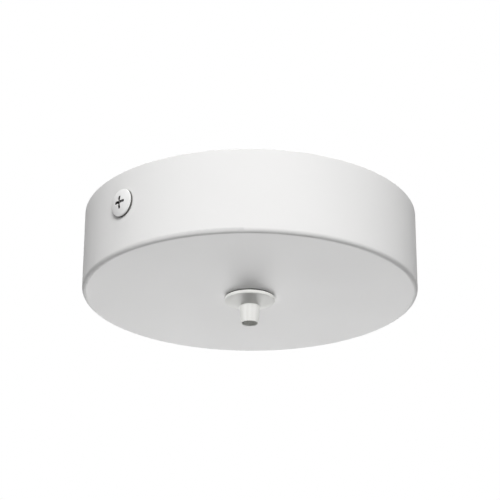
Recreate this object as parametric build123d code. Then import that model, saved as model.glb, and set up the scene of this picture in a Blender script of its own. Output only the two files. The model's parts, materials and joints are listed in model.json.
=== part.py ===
from build123d import *
from math import sqrt
import os

# Round ceiling canopy for a pendant lamp: a drawn steel cup that two side screws hold to a folded
# bracket, with a moulded cord outlet in its floor and a terminal block and an earth screw inside.
# The ceiling is the plane z = 0 and the cup hangs below it. The bracket lies along X.

# Cup, drawn from sheet steel
cup_diameter = 100.0
cup_height = 25.0
cup_wall = 0.9
cup_corner_radius = 1.3
rim_round = 0.2
side_hole_clearance = 0.3

# Clearances that several pieces share, and how far a cut runs past the face it opens
thread_clearance = 0.05
seat_gap = 0.05
overrun = 1.0

# Bracket, folded from one strip of sheet
sheet_thickness = 1.5
sheet_bend_radius = 1.0
bracket_width = 14.0
bracket_wall_gap = 0.25
lug_tail = 5.5
lug_corner_radius = 3.5
collar_length = 1.6
collar_wall = 1.3
collar_round = 0.3
hub_diameter = 22.0
cable_hole_diameter = 10.4
slot_spacing = 60.0
slot_length = 16.0
slot_width = 5.0
tab_width = 26.0
tab_margin = 4.5
tab_corner_radius = 3.0

# Side screws and the washers under their heads
side_screw_below_rim = 10.0
side_thread = 4.0
side_screw_length = 8.0
side_head_diameter = 8.2
side_head_height = 1.1
side_head_edge = 0.4
side_head_round = 0.2
side_washer_diameter = 8.2
side_washer_thickness = 0.4
side_washer_clearance = 0.1
cross_span = 4.2
cross_arm = 0.85
cross_depth = 1.9
cross_floor_radius = 0.7

# Cord outlet, moulded in one piece with a threaded shank and a split collet
outlet_thread = 10.0
outlet_hole_clearance = 0.2
cord_bore_diameter = 4.4
flange_diameter = 15.0
flange_rim = 1.0
flange_rim_round = 0.35
flange_dish = 1.6
nose_root_diameter = 6.0
nose_mouth_diameter = 5.2
nose_length = 5.3
nose_lip_flare = 0.25
nose_edge_round = 0.1
clamp_engagement = 3.4
collet_length = 4.0
collet_root_diameter = 9.0
collet_tip_diameter = 7.2
collet_slot_width = 0.6
collet_slots = 4
collet_first_slot = 45.0

# Gasket, toothed washer and locknut of the outlet
gasket_diameter = 14.4
gasket_thickness = 0.4
tooth_washer_diameter = 16.0
tooth_washer_thickness = 0.6
tooth_washer_band = 1.5
tooth_count = 14
tooth_width = 1.7
locknut_across_flats = 14.0
locknut_height = 3.0
locknut_chamfer = 0.6
locknut_chamfer_rise = 0.3

# Nut that closes the collet on the cord
clamp_nut_diameter = 14.0
clamp_nut_gap = 0.3
clamp_nut_roof = 1.2
clamp_nut_cone_clearance = 0.15
clamp_nut_tip_gap = 0.4
clamp_nut_cord_clearance = 0.3
clamp_nut_flutes = 12
flute_radius = 1.0
flute_depth = 0.5
clamp_nut_round = 0.6

# Terminal block with three poles, two screws to each
pole_count = 3
pole_pitch = 10.0
pole_width = 8.0
block_depth = 17.0
block_nut_gap = 4.0
block_base = 2.5
block_shoulder = 9.6
block_height = 13.4
block_corner_radius = 0.8
tower_diameter = 5.6
tower_edge_round = 0.4
insert_clearance = 0.05
insert_width = 4.0
insert_length = 15.0
insert_depth = 3.2
insert_roof = 0.8
insert_thread_wall = 1.8
insert_edge = 0.3
wire_bore_diameter = 3.0
clamp_screw_spacing = 7.6
clamp_thread = 2.6
clamp_screw_travel = 2.4
clamp_screw_stop_gap = 0.2
clamp_head_diameter = 3.5
clamp_head_height = 1.6
clamp_head_clearance = 0.2
clamp_head_chamfer = 0.15
clamp_slot_width = 0.6
clamp_slot_depth = 0.8
tip_chamfer = 0.3

# Screws that fix the terminal block to the bracket
fixing_thread = 2.5
fixing_hole_clearance = 0.15
fixing_head_diameter = 4.6
fixing_head_height = 1.6
fixing_head_edge = 0.9
fixing_head_clearance = 0.2
fixing_tip_depth = 0.2
fixing_cross_span = 2.4
fixing_cross_arm = 0.5
fixing_cross_depth = 1.2
fixing_cross_floor_radius = 0.4

# Earth screw on a folded ear, with its saddle washer
ear_centre_x = 16.0
ear_width = 9.0
ear_drop = 13.0
ear_corner_radius = 2.5
earth_screw_height = 8.0
earth_thread = 4.0
earth_screw_length = 8.0
earth_head_diameter = 7.0
earth_head_height = 2.4
earth_head_edge = 1.5
earth_washer_side = 8.0
earth_washer_thickness = 0.8
earth_washer_lip = 0.9
earth_washer_clearance = 0.1

# Levels and places that follow from the sizes
cup_radius = cup_diameter / 2
cup_inner_radius = cup_radius - cup_wall
floor_bottom = -cup_height
floor_top = floor_bottom + cup_wall
side_screw_z = -side_screw_below_rim
lug_face = sqrt((cup_inner_radius - bracket_wall_gap) ** 2 - (bracket_width / 2) ** 2)
lug_drop = side_screw_below_rim + lug_tail
shank_radius = outlet_thread / 2
outlet_hole_radius = shank_radius + outlet_hole_clearance
cord_bore_radius = cord_bore_diameter / 2
flange_top = floor_bottom - gasket_thickness
rim_bottom = flange_top - flange_rim
nose_root = rim_bottom - flange_dish
nose_mouth = nose_root - nose_length
locknut_bottom = floor_top + tooth_washer_thickness
locknut_top = locknut_bottom + locknut_height
clamp_nut_bottom = locknut_top + clamp_nut_gap
shank_top = clamp_nut_bottom + clamp_engagement
collet_top = shank_top + collet_length
clamp_nut_top = collet_top + clamp_nut_tip_gap + clamp_nut_roof
block_y = clamp_nut_diameter / 2 + block_nut_gap + block_depth / 2
block_top = -sheet_thickness
insert_top = block_top - insert_depth
wire_z = insert_top - insert_roof - wire_bore_diameter / 2
insert_bottom = wire_z - wire_bore_diameter / 2 - insert_thread_wall
clamp_tip_z = wire_z - wire_bore_diameter / 2
clamp_head_top = insert_bottom - clamp_screw_travel - clamp_screw_stop_gap
pole_places = [(n - (pole_count - 1) / 2) * pole_pitch for n in range(pole_count)]
fixing_places = [(a + b) / 2 for a, b in zip(pole_places, pole_places[1:])]
ear_face_y = -bracket_width / 2 - sheet_bend_radius - sheet_thickness


def turned(points, rounds=()):
    """Turns a closed outline of (radius, height) points about Z; rounds are (radius, height, round)."""
    face = make_face(Plane.XZ * Polyline(*points, close=True))
    for r, z, size in rounds:
        corner = face.vertices().sort_by_distance((r, 0, z))[0]
        face = fillet(corner, size)
    return revolve(face, Axis.Z)


def rod(diameter, low, high):
    """A round bar on the Z axis between two heights."""
    return Pos(0, 0, (low + high) / 2) * Cylinder(diameter / 2, high - low)


def on_axis(x, y, z, direction, across=(0, 0, 1)):
    """The plane that sends a piece made along +Z to a point, pointing in a direction."""
    return Plane(origin=(x, y, z), x_dir=across, z_dir=direction)


def cross_recess(span, arm, depth, floor_radius, top):
    """The tapering cross that a driver fits, cut down from a height."""
    place = Pos(0, 0, top - depth / 2)
    wings = Box(span, arm, depth) + Box(arm, span, depth)
    taper = Cone(floor_radius, span / 2, depth)
    return place * (wings & taper)


def domed_head(diameter, height, edge):
    """A low head that stands on z = 0, a dome over a straight edge."""
    rise = height - edge
    radius = ((diameter / 2) ** 2 + rise**2) / (2 * rise)
    dome = Pos(0, 0, height - radius) * Sphere(radius)
    return rod(diameter, 0, height) & dome


def threaded_shank(thread, length):
    """A shank that hangs from z = 0, with its tip bevelled."""
    shank = rod(thread, -length, 0)
    tip = shank.edges().sort_by(Axis.Z)[0]
    return chamfer(tip, tip_chamfer)


def cup():
    """The drawn cup: flat floor, rounded corner, straight wall and a plain rim on the ceiling."""
    outline = [
        (outlet_hole_radius, floor_bottom),
        (cup_radius, floor_bottom),
        (cup_radius, 0),
        (cup_inner_radius, 0),
        (cup_inner_radius, floor_top),
        (outlet_hole_radius, floor_top),
    ]
    rounds = [
        (cup_radius, floor_bottom, cup_corner_radius),
        (cup_inner_radius, floor_top, cup_corner_radius - cup_wall),
        (cup_radius, 0, rim_round),
        (cup_inner_radius, 0, rim_round),
    ]
    shell = turned(outline, rounds)
    hole = Cylinder(side_thread / 2 + side_hole_clearance, cup_wall + 2 * overrun)
    for side in (-1, 1):
        shell -= on_axis(side * (cup_radius - cup_wall / 2), 0, side_screw_z, (1, 0, 0)) * hole
    return shell


def folded(run, drop, width):
    """A strip of sheet along +X from the origin, with its top on z = 0, that turns down at its end."""
    t = sheet_thickness
    outline = Polyline((0, 0), (run, 0), (run, -drop), (run - t, -drop), (run - t, -t), (0, -t), close=True)
    side = make_face(Plane.XZ * outline)
    inner = side.vertices().sort_by_distance((run - t, 0, -t))[0]
    side = fillet(inner, sheet_bend_radius)
    outer = side.vertices().sort_by_distance((run, 0, 0))[0]
    side = fillet(outer, sheet_bend_radius + t)
    return extrude(side, width / 2, both=True)


def rounded_end(strip, radius):
    """Rounds the two corners at the lowest end of a folded strip."""
    corners = strip.edges().filter_by(Axis.X).sort_by(Axis.Z)[:2]
    return fillet(corners, radius)


def bracket():
    """The folded bracket: a slotted strip, a hub, a tab for the terminals, two tapped lugs and an ear."""
    lug = rounded_end(folded(lug_face, lug_drop, bracket_width), lug_corner_radius)
    collar_radius = side_thread / 2 + thread_clearance + collar_wall
    collar = Cylinder(collar_radius, collar_length)
    collar = fillet(collar.edges().sort_by(Axis.Z)[-1], collar_round)
    inside = lug_face - sheet_thickness - collar_length / 2
    lug += on_axis(inside, 0, side_screw_z, (-1, 0, 0)) * collar
    tapped = Cylinder(side_thread / 2 + thread_clearance, 2 * (sheet_thickness + collar_length + overrun))
    lug -= on_axis(lug_face, 0, side_screw_z, (1, 0, 0)) * tapped
    strip = lug + Rot(0, 0, 180) * lug
    level = Pos(0, 0, -sheet_thickness)
    strip += level * extrude(Circle(hub_diameter / 2), sheet_thickness)
    tab_end = block_y + block_depth / 2 - tab_margin
    tab = Pos(0, tab_end / 2) * Rectangle(tab_width, tab_end)
    far_corners = tab.vertices().sort_by(Axis.Y)[-2:]
    tab = fillet(far_corners, tab_corner_radius)
    strip += level * extrude(tab, sheet_thickness)
    ear_run = -ear_face_y
    ear = rounded_end(folded(ear_run, ear_drop, ear_width), ear_corner_radius)
    earth_tap = Cylinder(earth_thread / 2 + thread_clearance, 2 * (sheet_thickness + overrun))
    ear -= on_axis(ear_run, 0, -earth_screw_height, (1, 0, 0)) * earth_tap
    strip += Pos(ear_centre_x, 0, 0) * Rot(0, 0, -90) * ear
    below = -sheet_thickness - overrun
    strip -= rod(cable_hole_diameter, below, overrun)
    slot = extrude(SlotOverall(slot_length, slot_width), -below, both=True)
    strip -= [Pos(side * slot_spacing / 2, 0, 0) * slot for side in (-1, 1)]
    fixing_tap = rod(fixing_thread + 2 * thread_clearance, below, overrun)
    strip -= [Pos(x, block_y, 0) * fixing_tap for x in fixing_places]
    return strip


def side_screw():
    """A low pan head screw with a cross recess, its head up and its underside on z = 0."""
    head = domed_head(side_head_diameter, side_head_height, side_head_edge)
    head = fillet(head.edges().filter_by(GeomType.CIRCLE), side_head_round)
    screw = head + threaded_shank(side_thread, side_screw_length)
    return screw - cross_recess(cross_span, cross_arm, cross_depth, cross_floor_radius, side_head_height)


def side_washer():
    """The thin flat washer under a side screw's head, standing on z = 0."""
    bore = side_thread + 2 * side_washer_clearance
    blank = rod(side_washer_diameter, 0, side_washer_thickness)
    return blank - rod(bore, -overrun, side_washer_thickness + overrun)


def cord_outlet():
    """The outlet: nose and dished flange below the cup, threaded shank and split collet above it."""
    outline = [
        (cord_bore_radius, collet_top),
        (collet_tip_diameter / 2, collet_top),
        (collet_root_diameter / 2, shank_top),
        (shank_radius, shank_top),
        (shank_radius, flange_top),
        (flange_diameter / 2, flange_top),
        (flange_diameter / 2, rim_bottom),
        (nose_root_diameter / 2, nose_root),
        (nose_mouth_diameter / 2, nose_mouth),
        (cord_bore_radius + nose_lip_flare, nose_mouth),
        (cord_bore_radius, nose_mouth + nose_lip_flare),
    ]
    rounds = [
        (flange_diameter / 2, rim_bottom, flange_rim_round),
        (nose_mouth_diameter / 2, nose_mouth, nose_edge_round),
    ]
    body = turned(outline, rounds)
    height = collet_length + overrun
    reach = collet_root_diameter / 2 + overrun
    slot = Pos(reach / 2, 0, shank_top + height / 2) * Box(reach, collet_slot_width, height)
    for n in range(collet_slots):
        body -= Rot(0, 0, collet_first_slot + n * 360 / collet_slots) * slot
    return body


def gasket():
    """The thin sealing ring between the outlet's flange and the cup."""
    ring = rod(gasket_diameter, flange_top, floor_bottom)
    return ring - rod(2 * outlet_hole_radius, flange_top - overrun, floor_bottom + overrun)


def tooth_washer():
    """The toothed washer under the locknut: a narrow band with teeth round its outside."""
    band_radius = outlet_hole_radius + tooth_washer_band
    blank = Circle(band_radius)
    reach = tooth_washer_diameter / 2
    tooth = Pos(reach / 2, 0) * Rectangle(reach, tooth_width)
    for n in range(tooth_count):
        blank += Rot(0, 0, n * 360 / tooth_count) * tooth
    blank &= Circle(reach)
    blank -= Circle(outlet_hole_radius)
    return Pos(0, 0, floor_top) * extrude(blank, tooth_washer_thickness)


def locknut():
    """The hexagon nut that pulls the outlet's flange against the cup."""
    corner = locknut_across_flats / sqrt(3)
    prism = extrude(RegularPolygon(corner, 6), locknut_height)
    bevel = Cylinder(corner, locknut_height, align=(Align.CENTER, Align.CENTER, Align.MIN))
    rims = bevel.edges().filter_by(GeomType.CIRCLE)
    bevel = chamfer(rims, length=locknut_chamfer_rise, length2=locknut_chamfer)
    nut = prism & bevel
    nut -= rod(outlet_thread + 2 * thread_clearance, -overrun, locknut_height + overrun)
    return Pos(0, 0, locknut_bottom) * nut


def clamp_nut():
    """The fluted nut whose cone closes the collet on the cord."""
    gap = clamp_nut_cone_clearance
    thread = shank_radius + thread_clearance
    ceiling = collet_top + clamp_nut_tip_gap
    cord = cord_bore_radius + clamp_nut_cord_clearance
    outer = clamp_nut_diameter / 2
    outline = [
        (thread, clamp_nut_bottom),
        (outer, clamp_nut_bottom),
        (outer, clamp_nut_top),
        (cord, clamp_nut_top),
        (cord, ceiling),
        (collet_tip_diameter / 2 + gap, ceiling),
        (collet_tip_diameter / 2 + gap, collet_top),
        (collet_root_diameter / 2 + gap, shank_top),
        (thread, shank_top),
    ]
    nut = turned(outline, [(outer, clamp_nut_top, clamp_nut_round)])
    middle = outer + flute_radius - flute_depth
    flute = Pos(middle, 0, 0) * rod(2 * flute_radius, clamp_nut_bottom - overrun, clamp_nut_top + overrun)
    for n in range(clamp_nut_flutes):
        nut -= Rot(0, 0, n * 360 / clamp_nut_flutes) * flute
    return nut


def block_box(width, depth, low, high):
    """A box at the terminal block's middle, from one depth below its top to another."""
    middle = Pos(0, block_y, block_top - (low + high) / 2)
    return middle * Box(width, depth, high - low)


def terminal_body():
    """The moulded body: one cell to a pole, two screw towers on each, and waists for the fixing screws."""
    cell = block_box(pole_width, block_depth, 0, block_shoulder)
    cell = fillet(cell.edges().filter_by(Axis.Z), block_corner_radius)
    block_bottom = block_top - block_height
    tower = rod(tower_diameter, block_bottom, block_top - block_shoulder + overrun)
    tower = fillet(tower.edges().sort_by(Axis.Z)[0], tower_edge_round)
    towers = [Pos(0, block_y + side * clamp_screw_spacing / 2, 0) * tower for side in (-1, 1)]
    for one in towers:
        cell += one
    body = block_box((pole_count - 1) * pole_pitch, block_depth - 2 * block_corner_radius, 0, block_base)
    for x in pole_places:
        body += Pos(x, 0, 0) * cell
    width = insert_width + 2 * insert_clearance
    high = insert_top + insert_clearance
    low = insert_bottom - insert_clearance
    pocket = Pos(0, block_y, (high + low) / 2) * Box(width, block_depth + 2 * overrun, high - low)
    below = block_bottom - overrun
    well = rod(clamp_head_diameter + 2 * clamp_head_clearance, below, insert_bottom)
    for x in pole_places:
        body -= Pos(x, 0, 0) * pocket
        for side in (-1, 1):
            body -= Pos(x, block_y + side * clamp_screw_spacing / 2, 0) * well
    hole = rod(fixing_thread + 2 * fixing_hole_clearance, below, block_top + overrun)
    waist = rod(fixing_head_diameter + 2 * fixing_head_clearance, below, block_top - block_base)
    for x in fixing_places:
        body -= Pos(x, block_y, 0) * hole
        body -= Pos(x, block_y, 0) * waist
    return body


def terminal_insert():
    """A brass insert at x = 0: a bar with the wire's bore along it and two tapped holes from below."""
    bar = Pos(0, block_y, (insert_top + insert_bottom) / 2) * Box(
        insert_width, insert_length, insert_top - insert_bottom
    )
    bar = chamfer(bar.edges().filter_by(Axis.Y), insert_edge)
    wire_bore = Cylinder(wire_bore_diameter / 2, insert_length + 2 * overrun)
    bar -= on_axis(0, block_y, wire_z, (0, 1, 0)) * wire_bore
    tapped = rod(clamp_thread + 2 * thread_clearance, insert_bottom - overrun, wire_z)
    for side in (-1, 1):
        bar -= Pos(0, block_y + side * clamp_screw_spacing / 2, 0) * tapped
    return bar


def clamp_screw():
    """A slotted clamping screw on the Z axis, head down, its tip level with the wire's bore."""
    bottom = clamp_head_top - clamp_head_height
    head = rod(clamp_head_diameter, bottom, clamp_head_top)
    head = chamfer(head.edges().filter_by(GeomType.CIRCLE), clamp_head_chamfer)
    shank = rod(clamp_thread, clamp_head_top, clamp_tip_z)
    shank = chamfer(shank.edges().sort_by(Axis.Z)[-1], tip_chamfer)
    across = clamp_head_diameter + 2 * overrun
    slot = Pos(0, 0, bottom + clamp_slot_depth / 2) * Box(across, clamp_slot_width, clamp_slot_depth)
    return head + shank - slot


def fixing_screw():
    """A pan head screw, head up and underside on z = 0, that holds the terminal block."""
    head = domed_head(fixing_head_diameter, fixing_head_height, fixing_head_edge)
    length = block_base + sheet_thickness - fixing_tip_depth
    screw = head + threaded_shank(fixing_thread, length)
    return screw - cross_recess(
        fixing_cross_span,
        fixing_cross_arm,
        fixing_cross_depth,
        fixing_cross_floor_radius,
        fixing_head_height,
    )


def earth_screw():
    """The earth screw, head up and underside on z = 0."""
    head = domed_head(earth_head_diameter, earth_head_height, earth_head_edge)
    head = fillet(head.edges().filter_by(GeomType.CIRCLE), side_head_round)
    screw = head + threaded_shank(earth_thread, earth_screw_length)
    return screw - cross_recess(cross_span, cross_arm, cross_depth, cross_floor_radius, earth_head_height)


def earth_washer():
    """The square saddle washer that keeps the earth wire in, standing on its two lips on z = 0."""
    t = earth_washer_thickness
    height = t + earth_washer_lip
    plate = Pos(0, 0, height / 2) * Box(earth_washer_side, earth_washer_side, height)
    groove = Box(earth_washer_side - 2 * t, earth_washer_side + 2 * overrun, earth_washer_lip)
    plate -= Pos(0, 0, earth_washer_lip / 2) * groove
    return plate - rod(earth_thread + 2 * earth_washer_clearance, -overrun, height + overrun)


def build():
    """Every node by its name, in its place."""
    nodes = {
        "canopy_cup": cup(),
        "mounting_bracket": bracket(),
        "cord_outlet": cord_outlet(),
        "outlet_gasket": gasket(),
        "outlet_tooth_washer": tooth_washer(),
        "outlet_locknut": locknut(),
        "cord_clamp_nut": clamp_nut(),
        "terminal_block_body": terminal_body(),
    }
    washer_seat = cup_radius + seat_gap
    head_seat = washer_seat + side_washer_thickness + seat_gap
    for name, side in (("left", -1), ("right", 1)):
        out = (side, 0, 0)
        nodes["side_washer_" + name] = on_axis(side * washer_seat, 0, side_screw_z, out) * side_washer()
        nodes["side_screw_" + name] = on_axis(side * head_seat, 0, side_screw_z, out) * side_screw()
    for n, x in enumerate(pole_places):
        nodes[f"terminal_insert_{n + 1}"] = Pos(x, 0, 0) * terminal_insert()
        for row, side in ((0, 1), (1, -1)):
            place = Pos(x, block_y + side * clamp_screw_spacing / 2, 0)
            nodes[f"terminal_screw_{row * pole_count + n + 1}"] = place * clamp_screw()
    for n, x in enumerate(fixing_places):
        place = on_axis(x, block_y, block_top - block_base, (0, 0, -1), (1, 0, 0))
        nodes[f"terminal_fixing_screw_{n + 1}"] = place * fixing_screw()
    washer_face = ear_face_y - seat_gap
    earth_head_face = washer_face - earth_washer_thickness - earth_washer_lip - seat_gap
    out = (0, -1, 0)
    nodes["earth_washer"] = on_axis(ear_centre_x, washer_face, -earth_screw_height, out) * earth_washer()
    nodes["earth_screw"] = on_axis(ear_centre_x, earth_head_face, -earth_screw_height, out) * earth_screw()
    return nodes


os.makedirs("parts", exist_ok=True)
for name, shape in build().items():
    shape.label = name
    export_step(shape, f"parts/{name}.step")
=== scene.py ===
"""Round ceiling canopy for a pendant lamp.

The finish of every piece, the screws' threads, the lights and the camera.
"""
import json
import math

import bmesh
import bpy
from mathutils import Matrix, Vector

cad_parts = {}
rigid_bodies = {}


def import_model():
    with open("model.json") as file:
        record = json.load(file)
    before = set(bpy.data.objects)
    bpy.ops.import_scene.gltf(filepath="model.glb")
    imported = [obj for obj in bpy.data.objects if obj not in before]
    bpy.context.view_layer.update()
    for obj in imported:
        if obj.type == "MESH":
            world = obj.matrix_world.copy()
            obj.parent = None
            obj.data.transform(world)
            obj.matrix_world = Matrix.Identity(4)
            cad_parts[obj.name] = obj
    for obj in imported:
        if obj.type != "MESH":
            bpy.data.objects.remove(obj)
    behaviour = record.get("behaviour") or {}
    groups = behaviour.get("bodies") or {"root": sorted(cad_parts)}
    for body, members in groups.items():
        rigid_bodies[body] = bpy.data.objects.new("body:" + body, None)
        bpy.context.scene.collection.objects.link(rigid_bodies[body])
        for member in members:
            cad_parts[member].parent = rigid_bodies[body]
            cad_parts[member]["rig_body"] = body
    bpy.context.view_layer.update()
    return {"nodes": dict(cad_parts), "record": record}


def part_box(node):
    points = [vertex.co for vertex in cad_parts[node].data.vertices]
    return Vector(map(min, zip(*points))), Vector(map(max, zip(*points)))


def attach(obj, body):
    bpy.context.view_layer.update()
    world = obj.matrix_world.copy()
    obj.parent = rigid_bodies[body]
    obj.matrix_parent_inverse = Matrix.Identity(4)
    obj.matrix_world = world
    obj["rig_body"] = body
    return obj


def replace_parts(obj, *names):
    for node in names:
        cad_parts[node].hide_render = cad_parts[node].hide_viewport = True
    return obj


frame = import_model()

mm = 0.001
nodes = frame["nodes"]
behaviour = frame["record"]["behaviour"]

# Camera: a long lens below the ceiling, turned so that a side screw shows at the left
aim_point = Vector((0, 0, -12.5 * mm))
camera_distance = 512.5 * mm
camera_from_screw = 46.1
camera_below = 22.19
camera_lens = 122.33
camera_sensor = 36.0
camera_clip = 10 * mm
camera_yaw = 0.004
camera_pitch = 0.286
camera_roll = -0.281
camera_bearing = math.radians(180 + camera_from_screw)
camera_side = Vector((math.cos(camera_bearing), math.sin(camera_bearing), 0))

# Studio: the floor's greys set what it throws up at the object, and its glow what is seen of it
floor_level = -1.3
floor_size = 12.0
floor_grey = (0.5, 0.5, 0.5, 1.0)
floor_light_grey = (0.52, 0.52, 0.52, 1.0)
floor_shown = (0.8, 0.8, 0.8, 1.0)
floor_glow = 0.85
lamp_distance = 1.7
lamp_size = 1.0
middle_lamp_size = 0.7
small_lamp_size = 0.5
world_fill = 0.02
world_white = 1.0

# Sizes of the object, read from the frame where a node's box gives them
cup_low, cup_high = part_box("canopy_cup")
cup_radius = cup_high.x
cup_floor = cup_low.z
side_screw_low, side_screw_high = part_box("side_screw_right")
side_screw_z = (side_screw_low.z + side_screw_high.z) / 2
side_head_top = side_screw_high.x
side_head_radius = side_screw_high.y
bracket_sheet = 1.5 * mm
cup_wall = 0.9 * mm
side_dome_rise = 0.7 * mm
outlet_shank_radius = 5.0 * mm
shank_in_clamp_nut = 3.4 * mm
outlet_shank_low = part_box("outlet_gasket")[0].z
outlet_shank_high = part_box("cord_clamp_nut")[0].z + shank_in_clamp_nut

# Threads: M4 from the joints that drive it, the small screws and the outlet by their standards
coarse_pitch = math.tau / behaviour["couplings"][0]["ratio"]
fine_pitch = 0.45 * mm
outlet_pitch = 1.0 * mm
thread_sides = 48
plain_neck = 0.35 * mm
neck_overlap = 0.05 * mm
tip_bevel = 0.3 * mm
outlet_thread_start = 0.9 * mm

# A thread's form, in shares of its pitch
thread_depth = 0.6134
root_flat = 0.25
flank = 0.3125
thread_phases = (0.0, root_flat, root_flat + flank, 1 - flank)

# Meshes: welding, creases, and telling a plain shank from what is round it
weld_gap = 0.001 * mm
sliver_edge = 0.0005 * mm
crease_angle = 32.0
head_over_shank = 1.1
skin_over_core = 0.8
under_head = 0.01 * mm
shank_slack = 0.05 * mm
upright = 0.5


class Field:
    """A node's output as a number in Python sums: each sign adds a Math node."""

    def __init__(self, graph, socket):
        self.graph = graph
        self.socket = socket

    def math(self, operation, *values):
        return self.graph.node("Math", {"operation": operation}, dict(enumerate(values)))

    def __add__(self, other):
        return self.math("ADD", self, other)

    def __radd__(self, other):
        return self.math("ADD", other, self)

    def __sub__(self, other):
        return self.math("SUBTRACT", self, other)

    def __rsub__(self, other):
        return self.math("SUBTRACT", other, self)

    def __mul__(self, other):
        return self.math("MULTIPLY", self, other)

    def __rmul__(self, other):
        return self.math("MULTIPLY", other, self)

    def __truediv__(self, other):
        return self.math("DIVIDE", self, other)

    def __pow__(self, other):
        return self.math("POWER", self, other)

    def size(self):
        return self.math("ABSOLUTE", self)

    def least(self, other):
        return self.math("MINIMUM", self, other)


class Graph:
    """A node tree written as Python calls."""

    def __init__(self, tree):
        self.tree = tree

    def node(self, kind, settings=None, inputs=None, output=0):
        """Adds a node: its settings first, then its sockets' values or links."""
        made = self.tree.nodes.new("ShaderNode" + kind)
        for name, value in (settings or {}).items():
            setattr(made, name, value)
        for place, value in (inputs or {}).items():
            self.feed(made.inputs[place], value)
        return Field(self, made.outputs[output])

    def feed(self, socket, value):
        if isinstance(value, Field):
            self.tree.links.new(value.socket, socket)
        else:
            socket.default_value = value

    def axes(self, vector=None):
        """The x, y and z of a vector, or of the place in the object's frame."""
        vector = vector or self.place()
        parts = self.node("SeparateXYZ", None, {0: vector}).socket.node
        return [Field(self, parts.outputs[axis]) for axis in range(3)]

    def place(self, kind="Object"):
        return self.node("TexCoord", output=kind)

    def vector(self, x=0.0, y=0.0, z=0.0):
        return self.node("CombineXYZ", None, {0: x, 1: y, 2: z})

    def noise(self, scale, detail=2.0, roughness=0.5, where=None):
        inputs = {"Scale": scale, "Detail": detail, "Roughness": roughness}
        inputs["Vector"] = where or self.place()
        return self.node("TexNoise", {"noise_dimensions": "3D"}, inputs)

    def step(self, value, low, high):
        """Rises smoothly from 0 at one value to 1 at another."""
        inputs = {"Value": value, "From Min": low, "From Max": high}
        return self.node("MapRange", {"interpolation_type": "SMOOTHSTEP"}, inputs)

    def mix(self, amount, first, second):
        return self.node("Mix", {"data_type": "RGBA"}, {0: amount, 6: first, 7: second}, 2)

    def seen(self):
        """1 for what the camera, a gloss or a clear piece sees, and 0 for what lights the object."""
        camera = self.node("LightPath", output="Is Camera Ray")
        gloss = self.node("LightPath", output="Is Glossy Ray")
        clear = self.node("LightPath", output="Is Transmission Ray")
        return (camera + gloss + clear).least(1.0)

    def bump(self, height, distance, strength=1.0, over=None):
        inputs = {"Height": height, "Distance": distance, "Strength": strength}
        if over:
            inputs["Normal"] = over
        return self.node("Bump", None, inputs)


class Finish(Graph):
    """One material on the Principled shader."""

    def __init__(self, name, **constants):
        self.material = bpy.data.materials.new(name)
        self.material.use_nodes = True
        super().__init__(self.material.node_tree)
        self.shader = self.tree.nodes["Principled BSDF"]
        self.drive(**constants)

    def drive(self, **values):
        """Sets or links the shader's sockets."""
        for name, value in values.items():
            self.feed(self.shader.inputs[name.replace("_", " ")], value)

    def cut_ends(self):
        """1 on faces square to Y, where a strip or a bar was cut off."""
        facing = self.axes(self.node("NewGeometry", output="Normal"))
        return self.step(facing[1].size(), *square_to_y)


def shade(colour, level):
    """A colour made lighter or darker."""
    return tuple(level * part for part in colour[:3]) + (1.0,)


# Colours
paint_white = (0.793, 0.79, 0.785, 1.0)
bare_steel = (0.33, 0.33, 0.33, 1.0)
# Cross recess: bare where the paint didn't reach, with painted shade that makes its arms near black and its
# centre grey
recess_arm_shade = (0.03, 0.029, 0.028, 1.0)
recess_centre_grey = (0.4, 0.39, 0.38, 1.0)
zinc_cool = (0.54, 0.57, 0.6, 1.0)
zinc_warm = (0.58, 0.57, 0.52, 1.0)
zinc_cloudy = (0.4, 0.42, 0.45, 1.0)
zinc_sheared = (0.36, 0.37, 0.38, 1.0)
zinc_scratched = (0.7, 0.71, 0.73, 1.0)
zinc_on_screws = (0.68, 0.69, 0.71, 1.0)
spring_grey = (0.3, 0.31, 0.33, 1.0)
nickel = (0.7, 0.68, 0.64, 1.0)
earth_yellow = (0.82, 0.6, 0.28, 1.0)
brass_bright = (0.82, 0.62, 0.3, 1.0)
brass_dull = (0.68, 0.48, 0.22, 1.0)
brass_sawn = (0.86, 0.7, 0.42, 1.0)
nylon_white = (0.84, 0.842, 0.815, 1.0)
terminal_milky = (0.8, 0.79, 0.74, 1.0)
terminal_creamy = (0.74, 0.73, 0.67, 1.0)
fibre_grey = (0.15, 0.146, 0.14, 1.0)
fibre_dark = (0.11, 0.107, 0.102, 1.0)
fibre_fleck = (0.21, 0.205, 0.195, 1.0)
rubber_black = (0.022, 0.022, 0.023, 1.0)
rubber_bloom = (0.07, 0.07, 0.072, 1.0)

# Where a finish changes: from none of it to all of it
cup_inside = (cup_radius - 0.3 * mm, cup_radius - 0.6 * mm)
above_cup_floor = (cup_floor + 0.4 * mm, cup_floor + 0.8 * mm)
near_cup_floor = (cup_floor + 7 * mm, cup_floor + 1.5 * mm)
near_cup_wall = (cup_radius - cup_wall - 7 * mm, cup_radius - cup_wall - 1.5 * mm)
cup_rim = (-0.3 * mm, -0.02 * mm)
recess_depth = (0.03 * mm, 0.15 * mm)
recess_reach = ((2.5 * mm) ** 2, (2.2 * mm) ** 2)
recess_middle = ((1.0 * mm) ** 2, (0.5 * mm) ** 2)
bracket_legs = (-bracket_sheet - 12 * mm, -bracket_sheet + 2 * mm)
parting_line = (0.09 * mm, 0.03 * mm)
square_to_y = (0.9, 0.97)


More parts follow.
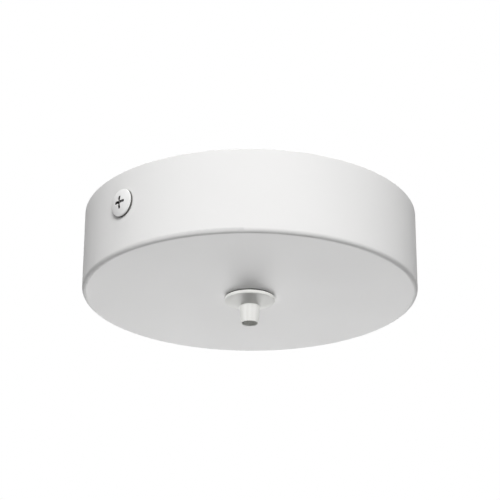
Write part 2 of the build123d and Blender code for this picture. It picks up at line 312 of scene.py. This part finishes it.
def cup_coat():
    """Matt white powder coat: fine orange peel, chipped on the rim and thin in the cup's inner corner."""
    coat = Finish("cup powder coat", Specular_IOR_Level=0.1, Diffuse_Roughness=0.15)
    x, y, z = coat.axes()
    radius = (x * x + y * y) ** 0.5
    tone = coat.noise(scale=45, detail=3.0)
    peel = coat.noise(scale=1150)
    grit = coat.noise(scale=5200)
    speckle = coat.step(coat.noise(scale=800, detail=4.0, roughness=0.6), low=0.44, high=0.62)
    corner = coat.step(radius, *cup_inside) * coat.step(z, *above_cup_floor)
    corner = corner * coat.step(z, *near_cup_floor) * coat.step(radius, *near_cup_wall)
    thin = corner * (0.25 + 0.75 * speckle)
    knocks = coat.step(coat.noise(scale=650, detail=3.0, roughness=0.7), low=0.6, high=0.66)
    chips = coat.step(z, *cup_rim) * knocks
    worn = (0.24 * thin + 0.4 * chips).least(1.0)
    white = coat.mix(tone, shade(paint_white, 0.985), shade(paint_white, 1.01))
    coat.drive(Base_Color=coat.mix(worn, white, bare_steel))
    coat.drive(Roughness=0.56 + 0.08 * tone + 0.1 * thin)
    coarse = coat.bump(peel, distance=0.025 * mm, strength=0.45)
    coat.drive(Normal=coat.bump(grit, distance=0.006 * mm, strength=0.4, over=coarse))
    return coat.material


def head_coat():
    """White paint on a screw's head. Its cross recess is bare where the paint didn't reach, with painted
    shade: near black in the arms, grey at the centre.
    """
    coat = Finish("screw head paint", Specular_IOR_Level=0.3)
    x, y, z = coat.axes()
    up = z - side_screw_z
    off_axis = y * y + up * up
    dome_radius = (side_head_radius ** 2 + side_dome_rise ** 2) / (2 * side_dome_rise)
    below_dome = side_head_top - off_axis / (2 * dome_radius) - x.size()
    recess = coat.step(below_dome, *recess_depth) * coat.step(off_axis, *recess_reach)
    middle = coat.step(off_axis, *recess_middle)
    tone = coat.noise(scale=300, detail=3.0)
    white = coat.mix(tone, shade(paint_white, 1.02), shade(paint_white, 1.06))
    # Painted shade in the recess: near black in its arms, grey at its centre, over the bare steel that the
    # paint missed
    recess_bare_and_shade = coat.mix(middle, recess_arm_shade, recess_centre_grey)
    coat.drive(Base_Color=coat.mix(recess, white, recess_bare_and_shade))
    coat.drive(Roughness=0.45 + 0.1 * tone + 0.2 * recess)
    coat.drive(Normal=coat.bump(coat.noise(scale=1600), distance=0.015 * mm, strength=0.5))
    return coat.material


def zinc_sheet():
    """Bright zinc on folded strip: grain along the strip, cloudy passivation, sheared edges."""
    plate = Finish("zinc plated sheet", Metallic=1.0)
    x, y, z = plate.axes()
    run = x.size() - z
    rolled = plate.vector(run * 0.02, y, z * 0.02)
    grain = plate.noise(scale=2200, detail=3.0, roughness=0.6, where=rolled)
    dragged = plate.vector(run * 0.03, y)
    scratch = plate.step(plate.noise(scale=900, roughness=0.6, where=dragged), low=0.68, high=0.72)
    cloud = plate.noise(scale=140, detail=4.0, roughness=0.6)
    tint = plate.noise(scale=60)
    cut = plate.cut_ends() * plate.step(z, *bracket_legs)
    shear = plate.noise(scale=2600, roughness=0.7, where=plate.vector(x, 0.0, z * 0.1))
    colour = plate.mix(tint, zinc_cool, zinc_warm)
    colour = plate.mix(0.55 * cloud, colour, zinc_cloudy)
    colour = plate.mix(cut * (0.3 + 0.4 * shear), colour, zinc_sheared)
    plate.drive(Base_Color=plate.mix(0.4 * scratch, colour, zinc_scratched))
    plate.drive(Roughness=0.36 + 0.14 * cloud + 0.12 * cut + 0.06 * grain)
    fine = plate.bump(grain, distance=0.006 * mm, strength=0.5)
    plate.drive(Normal=plate.bump(cut * shear, distance=0.03 * mm, strength=0.6, over=fine))
    return plate.material


def turned_metal(name, colour, roughness, rings=1.0, tarnish=0.2):
    """Plated or plain metal with a cloudy tarnish and the fine rings of a lathe."""
    metal = Finish(name, Metallic=1.0)
    x, y, z = metal.axes(metal.place("Generated"))
    reach = ((x - 0.5) ** 2.0 + (y - 0.5) ** 2.0) ** 0.5
    ring = metal.noise(scale=60, roughness=0.6, where=metal.vector(reach, z))
    cloud = metal.noise(scale=420, detail=4.0, roughness=0.6)
    stain = metal.step(metal.noise(scale=160, detail=3.0), low=0.45, high=0.75)
    fresh = metal.mix(cloud, colour, shade(colour, 0.86))
    metal.drive(Base_Color=metal.mix(tarnish * stain, fresh, shade(colour, 0.45)))
    metal.drive(Roughness=roughness - 0.05 + 0.12 * cloud + 0.1 * stain)
    metal.drive(Normal=metal.bump(ring, distance=0.01 * mm * rings, strength=0.35))
    return metal.material


def drawn_brass():
    """Brass bar, drawn along Y, with sawn ends."""
    brass = Finish("drawn brass bar", Metallic=1.0)
    x, y, z = brass.axes()
    sawn = brass.cut_ends()
    along = brass.noise(scale=3000, roughness=0.6, where=brass.vector(x, y * 0.02, z))
    across = brass.noise(scale=2600, roughness=0.6, where=brass.vector(x * 0.03, y, z))
    cloud = brass.noise(scale=260, detail=4.0, roughness=0.6)
    colour = brass.mix(cloud, brass_bright, brass_dull)
    brass.drive(Base_Color=brass.mix(0.3 * sawn, colour, brass_sawn))
    brass.drive(Roughness=0.24 + 0.14 * cloud + 0.1 * sawn)
    lines = along * (1 - sawn) + across * sawn
    brass.drive(Normal=brass.bump(lines, distance=0.01 * mm, strength=0.5))
    return brass.material


def white_nylon():
    """Moulded nylon: satin skin, faint flow lines and a parting line along X."""
    skin = Finish("white nylon", Specular_IOR_Level=0.4)
    x, y, z = skin.axes()
    flow = skin.noise(scale=110, detail=3.0, roughness=0.6, where=skin.vector(x, y, z * 0.4))
    texture = skin.noise(scale=4200)
    seam = skin.step(y.size(), *parting_line)
    tone = skin.mix(flow, nylon_white, shade(nylon_white, 0.965))
    skin.drive(Base_Color=skin.mix(0.25 * seam, tone, shade(nylon_white, 0.9)))
    skin.drive(Roughness=0.38 + 0.08 * flow)
    fine = skin.bump(texture, distance=0.008 * mm, strength=0.4)
    skin.drive(Normal=skin.bump(seam, distance=0.03 * mm, strength=0.5, over=fine))
    return skin.material


def terminal_moulding():
    """Milky moulded terminal plastic with a fine spark texture."""
    skin = Finish("terminal moulding", Specular_IOR_Level=0.45)
    x, y, z = skin.axes()
    flow = skin.noise(scale=170, detail=3.0, roughness=0.6, where=skin.vector(x * 0.5, y, z))
    texture = skin.noise(scale=3000, detail=3.0, roughness=0.6)
    skin.drive(Base_Color=skin.mix(flow, terminal_milky, terminal_creamy))
    skin.drive(Roughness=0.36 + 0.12 * flow)
    skin.drive(Normal=skin.bump(texture, distance=0.012 * mm, strength=0.45))
    return skin.material


def fibre():
    """Dark vulcanised fibre: pressed layers with pale flecks."""
    board = Finish("dark fibre", Specular_IOR_Level=0.25)
    x, y, z = board.axes()
    fleck = board.step(board.noise(scale=2400, detail=4.0, roughness=0.7), low=0.5, high=0.75)
    layer = board.noise(scale=3600, where=board.vector(x, y * 0.1, z * 0.1))
    dark = board.mix(layer, fibre_grey, fibre_dark)
    board.drive(Base_Color=board.mix(0.5 * fleck, dark, fibre_fleck))
    board.drive(Roughness=0.72 + 0.12 * fleck)
    board.drive(Normal=board.bump(layer + fleck, distance=0.012 * mm, strength=0.5))
    return board.material


def rubber():
    """Dull black sealing rubber with a little bloom."""
    seal = Finish("sealing rubber", Specular_IOR_Level=0.3)
    bloom = seal.step(seal.noise(scale=500, detail=4.0, roughness=0.65), low=0.45, high=0.8)
    seal.drive(Base_Color=seal.mix(0.4 * bloom, rubber_black, rubber_bloom))
    seal.drive(Roughness=0.68 + 0.14 * bloom)
    texture = seal.noise(scale=2800, detail=3.0)
    seal.drive(Normal=seal.bump(texture, distance=0.01 * mm, strength=0.5))
    return seal.material


finishes = {
    "cup_paint": cup_coat(),
    "screw_paint": head_coat(),
    "dark_fibre": fibre(),
    "white_nylon": white_nylon(),
    "dark_rubber": rubber(),
    "zinc_steel": zinc_sheet(),
    "spring_steel": turned_metal("spring steel", spring_grey, roughness=0.36, tarnish=0.5),
    "nut_steel": turned_metal("nickel plated nut", nickel, roughness=0.24, rings=2.0),
    "screw_steel": turned_metal("zinc plated screw", zinc_on_screws, roughness=0.28),
    "earth_brass": turned_metal("earth brass", earth_yellow, roughness=0.26, tarnish=0.35),
    "brass_insert": drawn_brass(),
    "terminal_plastic": terminal_moulding(),
}
node_slots = {name: node.material_slots[0].material.name for name, node in nodes.items()}


def dress_nodes():
    """Gives each CAD node the finish of its material slot."""
    for name, slot in node_slots.items():
        nodes[name].material_slots[0].material = finishes[slot]


def thread_rise(phase):
    """How far the thread stands out of its root, from 0 to 1, at a share of one pitch."""
    return min(max(min(phase - root_flat, 1 - phase) / flank, 0), 1)


def add_thread(form, place, radius, pitch, low, high, bevel):
    """Adds a right-hand thread along a frame's Z, bevelled at its low end and fading at its high one."""
    turns = math.ceil((high - low) / pitch) + 2
    heights = [turn - 1 + phase for turn in range(turns) for phase in thread_phases]
    columns = []
    for side in range(thread_sides):
        turned = side / thread_sides
        angle = math.tau * turned
        column = []
        for height in heights:
            z = min(max(low + (height + turned) * pitch, low), high)
            fade = min(max((high - plain_neck - z) / pitch, 0), 1)
            groove = thread_depth * pitch * fade * (1 - thread_rise(((z - low) / pitch - turned) % 1))
            reach = min(radius - groove, radius - bevel + z - low)
            point = Vector((reach * math.cos(angle), reach * math.sin(angle), z))
            column.append(form.verts.new(place @ point))
        columns.append(column)
    one_turn = len(thread_phases)
    for side, column in enumerate(columns):
        last = side == thread_sides - 1
        beside = columns[0][one_turn:] if last else columns[side + 1]
        for row in range(len(beside) - 1):
            form.faces.new((column[row], beside[row], beside[row + 1], column[row + 1]))


def clean(form):
    """Welds a skin's double points and removes the faces that this leaves without area."""
    bmesh.ops.remove_doubles(form, verts=form.verts, dist=weld_gap)
    bmesh.ops.dissolve_degenerate(form, edges=form.edges, dist=sliver_edge)


def rims(form):
    """The open edges of a skin."""
    return [edge for edge in form.edges if edge.is_boundary]


def make_piece(name, form, slot, body):
    """Makes an object from a skin, smooth but for its creases, in a slot's finish, that rides on a body."""
    mesh = bpy.data.meshes.new(name)
    form.to_mesh(mesh)
    form.free()
    for attribute in [a for a in mesh.attributes if a.name == "custom_normal"]:
        mesh.attributes.remove(attribute)
    mesh.shade_smooth()
    mesh.set_sharp_from_angle(angle=math.radians(crease_angle))
    mesh.materials.clear()
    mesh.materials.append(finishes[slot])
    piece = bpy.data.objects.new(name, mesh)
    bpy.context.scene.collection.objects.link(piece)
    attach(piece, body)
    return piece


class Shank:
    """A CAD screw's own frame, its tip at the origin and its head up Z, and the sizes of its shank."""

    def __init__(self, name, toward_head):
        low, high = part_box(name)
        axis = Vector(toward_head)
        length = abs((high - low).dot(axis))
        turn = axis.to_track_quat("Z", "Y").to_matrix().to_4x4()
        self.place = Matrix.Translation((low + high) / 2 - axis * length / 2) @ turn
        back = self.place.inverted()
        points = [back @ vertex.co for vertex in nodes[name].data.vertices]
        self.radius = max(math.hypot(p.x, p.y) for p in points if p.z < length / 2)
        self.head = min(p.z for p in points if math.hypot(p.x, p.y) > head_over_shank * self.radius)

    def holds(self, face):
        """Whether a face belongs to the plain shank."""
        middle = self.place.inverted() @ face.calc_center_median()
        outer = math.hypot(middle.x, middle.y) > skin_over_core * self.radius
        return middle.z < self.head - under_head and (outer or middle.z < self.head / 2)


def thread_screw(name, toward_head, pitch, thread_slot):
    """Stands for a CAD screw: its head as packed, with a threaded shank as a second piece."""
    shank = Shank(name, toward_head)
    body = nodes[name]["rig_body"]
    head = bmesh.new()
    head.from_mesh(nodes[name].data)
    clean(head)
    bmesh.ops.delete(head, geom=[face for face in head.faces if shank.holds(face)], context="FACES")
    bmesh.ops.holes_fill(head, edges=rims(head))
    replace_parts(make_piece(name + "_head", head, node_slots[name], body), name)
    thread = bmesh.new()
    add_thread(thread, shank.place, shank.radius, pitch, 0.0, shank.head + neck_overlap, tip_bevel)
    clean(thread)
    bmesh.ops.holes_fill(thread, edges=rims(thread))
    make_piece(name + "_thread", thread, thread_slot, body)


def thread_screws():
    """Threads every screw of the object."""
    thread_screw("side_screw_left", (-1, 0, 0), coarse_pitch, "screw_steel")
    thread_screw("side_screw_right", (1, 0, 0), coarse_pitch, "screw_steel")
    thread_screw("earth_screw", (0, -1, 0), coarse_pitch, "earth_brass")
    for name in sorted(nodes):
        if name.startswith(("terminal_screw", "terminal_fixing_screw")):
            thread_screw(name, (0, 0, -1), fine_pitch, "screw_steel")


def thread_outlet():
    """Stands for the outlet: its moulding as packed, with the shank's thread in place of the plain band."""
    form = bmesh.new()
    form.from_mesh(nodes["cord_outlet"].data)
    clean(form)
    band = []
    for face in form.faces:
        middle = face.calc_center_median()
        on_shank = abs(math.hypot(middle.x, middle.y) - outlet_shank_radius) < shank_slack
        in_band = outlet_shank_low < middle.z < outlet_shank_high
        if on_shank and in_band and abs(face.normal.z) < upright:
            band.append(face)
    bmesh.ops.delete(form, geom=band, context="FACES")
    low = outlet_shank_low + outlet_thread_start
    high = outlet_shank_high - neck_overlap
    add_thread(form, Matrix.Identity(4), outlet_shank_radius, outlet_pitch, low, high, 0.0)
    clean(form)
    halfway = (low + high) / 2
    for at_top in (False, True):
        ends = [edge for edge in rims(form) if (edge.verts[0].co.z > halfway) == at_top]
        bmesh.ops.bridge_loops(form, edges=ends)
    moulding = make_piece("outlet_moulding", form, "white_nylon", "fixture")
    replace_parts(moulding, "cord_outlet")


def photo_camera():
    """The photograph's viewpoint."""
    data = bpy.data.cameras.new("photo")
    data.lens = camera_lens
    data.sensor_width = camera_sensor
    data.clip_start = camera_clip
    camera = bpy.data.objects.new("photo", data)
    bpy.context.scene.collection.objects.link(camera)
    below = math.radians(camera_below)
    back = camera_side * math.cos(below) - Vector((0, 0, math.sin(below)))
    right = Vector((0, 0, 1)).cross(back).normalized()
    up = back.cross(right)
    turn = Matrix((right, up, back)).transposed()
    turn = turn @ Matrix.Rotation(math.radians(camera_yaw), 3, "Y")
    turn = turn @ Matrix.Rotation(math.radians(camera_pitch), 3, "X")
    turn = turn @ Matrix.Rotation(math.radians(-camera_roll), 3, "Z")
    camera.matrix_world = Matrix.Translation(aim_point + camera_distance * back) @ turn.to_4x4()
    bpy.context.scene.camera = camera


def lamp(name, azimuth, elevation, strength, size=lamp_size):
    """A soft square lamp. Azimuth is counted from the camera's side, positive to its right."""
    data = bpy.data.lights.new(name, "AREA")
    data.energy = strength * (math.pi * lamp_distance) ** 2
    data.size = size
    light = bpy.data.objects.new(name, data)
    bpy.context.scene.collection.objects.link(light)
    level = Matrix.Rotation(math.radians(azimuth), 3, "Z") @ camera_side
    rise = math.radians(elevation)
    source = level * math.cos(rise) + Vector((0, 0, math.sin(rise)))
    light.location = aim_point + lamp_distance * source
    light.rotation_euler = source.to_track_quat("Z", "Y").to_euler()
    light.visible_camera = False
    return light


def linked(light, use, piece, state):
    """Names a piece that a lamp lights or is shaded by, or leaves it out."""
    links = light.light_linking
    if not getattr(links, use):
        setattr(links, use, bpy.data.collections.new(light.name + " " + use))
    group = getattr(links, use)
    group.objects.link(piece)
    group.collection_objects[len(group.objects) - 1].light_linking.link_state = state


def outlet_lamp(name, azimuth, elevation, strength, size):
    """A lamp for the outlet alone: the photograph's light reaches it past the cup's edge."""
    light = lamp(name, azimuth, elevation, strength, size)
    for use in ("receiver_collection", "blocker_collection"):
        linked(light, use, bpy.data.objects["outlet_moulding"], "INCLUDE")


def cup_lamp(name, azimuth, elevation, strength, gloss=True, kept_off=("outlet_moulding",)):
    """A lamp for everything but the outlet, which still shades it. Without gloss, no metal mirrors it."""
    light = lamp(name, azimuth, elevation, strength)
    light.visible_glossy = gloss
    for piece in kept_off:
        linked(light, "receiver_collection", bpy.data.objects[piece], "EXCLUDE")


def light_the_object():
    """The studio's lamps: plain and soft on the cup, and closer matched to the photograph on the outlet."""
    cup_lamp("front", azimuth=0, elevation=20, strength=1.03, gloss=False)
    cup_lamp("below front", azimuth=0, elevation=-38, strength=0.14, gloss=False)
    cup_lamp("left", azimuth=-66, elevation=20, strength=0.11)
    cup_lamp("right", azimuth=78, elevation=12, strength=0.14)
    not_on = ("outlet_moulding", "floor")
    cup_lamp("overhead", azimuth=0, elevation=90, strength=0.5, gloss=False, kept_off=not_on)
    cup_lamp("below far side", azimuth=180, elevation=-23, strength=0.99)
    outlet_lamp("outlet front", azimuth=0, elevation=15, strength=0.36, size=small_lamp_size)
    outlet_lamp("outlet left", azimuth=-60, elevation=14, strength=0.44, size=small_lamp_size)
    outlet_lamp("outlet right", azimuth=60, elevation=14, strength=0.38, size=small_lamp_size)
    outlet_lamp("outlet below", azimuth=180, elevation=-41, strength=0.6, size=middle_lamp_size)


def pale_floor():
    """A plain pale floor, well below the ceiling's canopy."""
    form = bmesh.new()
    bmesh.ops.create_grid(form, x_segments=1, y_segments=1, size=floor_size / 2)
    mesh = bpy.data.meshes.new("floor")
    form.to_mesh(mesh)
    form.free()
    floor = bpy.data.objects.new("floor", mesh)
    floor.location.z = floor_level
    bpy.context.scene.collection.objects.link(floor)
    pale = Finish("pale floor", Roughness=0.9, Specular_IOR_Level=0.1)
    pale.drive(Base_Color=pale.mix(pale.noise(scale=3), floor_grey, floor_light_grey))
    glow = pale.node("Emission", None, {"Color": floor_shown})
    plain = Field(pale, pale.shader.outputs[0])
    surface = pale.node("MixShader", None, {0: floor_glow * pale.seen(), 1: plain, 2: glow})
    pale.feed(pale.tree.nodes["Material Output"].inputs["Surface"], surface)
    mesh.materials.append(pale.material)


def white_surround():
    """White where the camera, a gloss or a clear piece sees past the object, and a low fill elsewhere."""
    world = bpy.data.worlds.new("studio")
    world.use_nodes = True
    bpy.context.scene.world = world
    sky = Graph(world.node_tree)
    background = world.node_tree.nodes["Background"]
    sky.feed(background.inputs["Color"], (1.0, 1.0, 1.0, 1.0))
    sky.feed(background.inputs["Strength"], world_fill + (world_white - world_fill) * sky.seen())


photo_camera()
pale_floor()
white_surround()
dress_nodes()
thread_screws()
thread_outlet()
light_the_object()
bpy.context.scene.view_settings.view_transform = "Standard"
